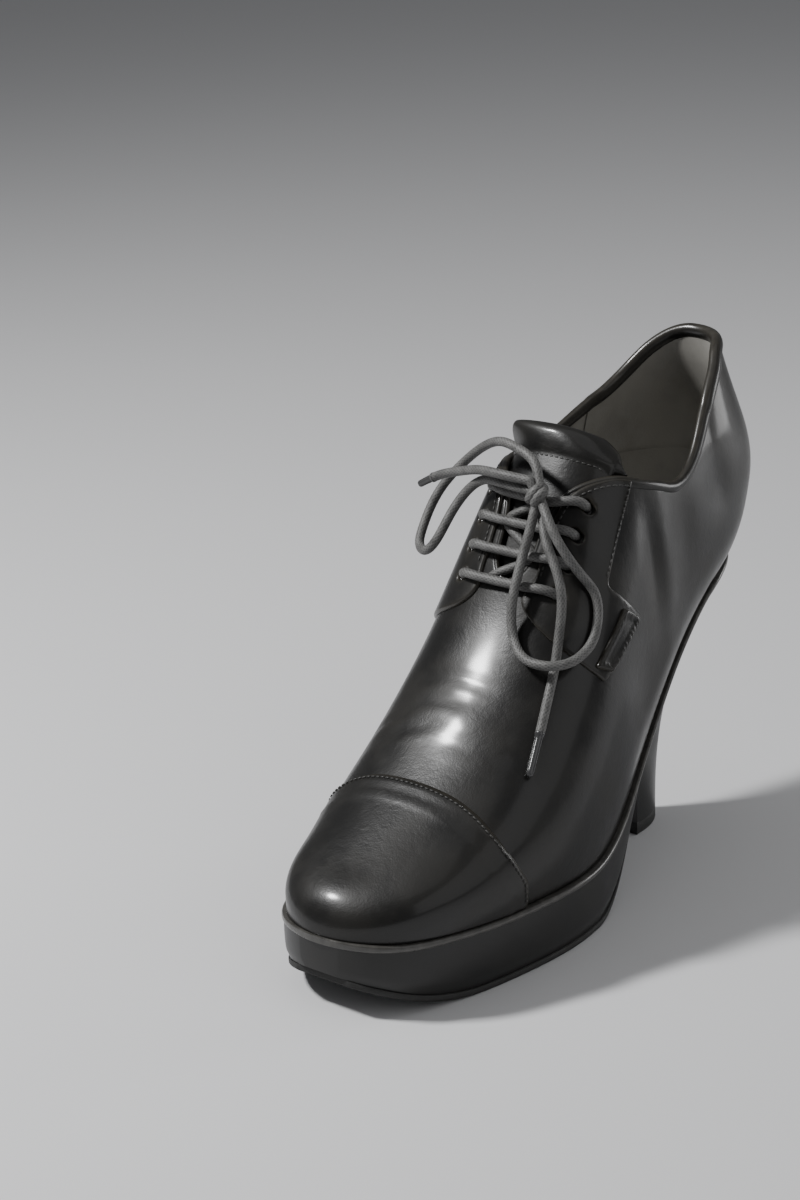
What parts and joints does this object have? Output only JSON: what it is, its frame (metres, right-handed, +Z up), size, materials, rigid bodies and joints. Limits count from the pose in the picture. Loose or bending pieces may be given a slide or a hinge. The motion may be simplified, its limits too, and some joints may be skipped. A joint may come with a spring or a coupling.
{
  "type": "ankle boot",
  "caption": "Left black leather lace-up ankle boot with a straight toe cap, side tab, platform sole and high covered heel.",
  "frame": {"origin": "on the floor, under the ball of the foot, in the middle of the forefoot's flat", "axes": "+Z up, +Y from toe to heel, +X towards the outer (lateral) side of this left boot"},
  "size_m": [0.0925, 0.2391, 0.183],
  "materials": {
    "leather": "polished smooth black leather",
    "lining": "matte dark lining leather",
    "sole": "matte black rubber",
    "cord": "round waxed braided cord"
  },
  "bodies": {
    "root": {"upper": "leather", "toe_cap": "leather", "eyestay_lateral": "leather", "eyestay_medial": "leather", "side_tab_bar": "leather", "tongue": "leather", "insole": "lining", "welt": "leather", "platform": "leather", "outsole": "sole", "heel": "leather", "heel_top_piece": "sole", "lace_bar_1": "cord", "lace_bar_2": "cord", "lace_bar_3": "cord", "lace_bar_4": "cord", "lace_knot": "cord", "lace_loop_left": "cord", "lace_loop_right": "cord", "lace_end_left": "cord", "lace_end_right": "cord"}
  },
  "joints": []
}
